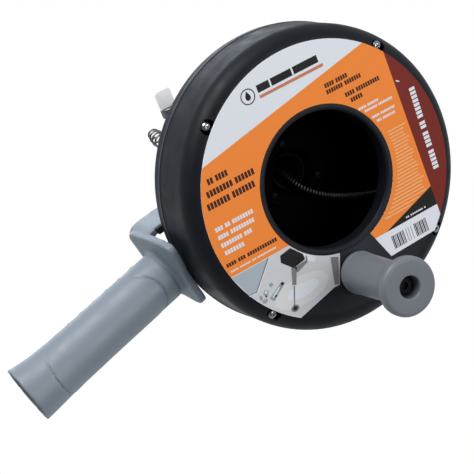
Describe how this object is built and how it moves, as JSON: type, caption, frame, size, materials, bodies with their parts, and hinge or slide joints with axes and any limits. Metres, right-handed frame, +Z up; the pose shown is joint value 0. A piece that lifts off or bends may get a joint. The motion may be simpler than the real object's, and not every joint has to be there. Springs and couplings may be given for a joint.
{
  "type": "drum auger",
  "caption": "Hand-held drain auger: spring cable coiled in an open drum that is cranked in a pistol-grip handle, with a thumbscrew on the nose and a bulb head.",
  "frame": {"origin": "on the drum's axis, in the plane of the drum's rear face, at the rim of the round opening", "axes": "+Y along the drum's axis towards the nose, +Z up through the hand's grip and guard, +X to the user's right"},
  "size_m": [0.1984, 0.3312, 0.3271],
  "materials": {
    "handle_grey": "moulded, satin",
    "drum_black": "moulded, satin",
    "nose_black": "moulded, satin",
    "knob_grey": "moulded, satin",
    "trim_black": "matte",
    "bush_white": "acetal, satin",
    "label_print": "printed film, white, orange and dark red",
    "zinc": "zinc plated",
    "black_steel": "black oxide",
    "washer_steel": "plain steel",
    "cable_steel": "wound spring wire, oiled"
  },
  "bodies": {
    "handle": {"handle": "handle_grey", "grip_end_cap": "trim_black", "rear_bush": "bush_white", "front_bush": "bush_white", "drum_bumper": "trim_black"},
    "drum": {"drum_rear_shell": "drum_black", "drum_front_shell": "drum_black", "drum_screws": "zinc", "rear_label": "label_print", "nose_tube": "nose_black", "nose_screws": "black_steel", "thrust_washer": "washer_steel", "retaining_washer": "washer_steel", "retaining_clip": "washer_steel", "screw_collar": "zinc", "mouth_bush": "trim_black", "cable_coil": "cable_steel", "cable_lead": "cable_steel", "cable_anchor": "black_steel", "anchor_screw": "black_steel", "knob_bolt": "black_steel", "knob_washer": "washer_steel", "knob_end_washer": "black_steel", "knob_nut": "zinc"},
    "knob": {"knob": "knob_grey"},
    "thumbscrew": {"thumbscrew": "zinc"},
    "cable_head": {"cable_front": "cable_steel", "bulb_head": "cable_steel"}
  },
  "joints": [
    {"name": "drum_spin", "type": "hinge", "parent": "handle", "child": "drum", "pos_m": [0, 0, 0], "axis": [0, 1, 0], "continuous": true},
    {"name": "knob_spin", "type": "hinge", "parent": "drum", "child": "knob", "pos_m": [0.06331, 0, -0.01792], "axis": [0, 1, 0], "continuous": true},
    {"name": "clamp_turn", "type": "hinge", "parent": "drum", "child": "thumbscrew", "pos_m": [0, 0.21, 0], "axis": [0.9744, 0, -0.225], "range_deg": [0, 540]},
    {"name": "cable_feed", "type": "slide", "parent": "drum", "child": "cable_head", "axis": [0, 1, 0], "range_m": [0, 0.1]}
  ]
}
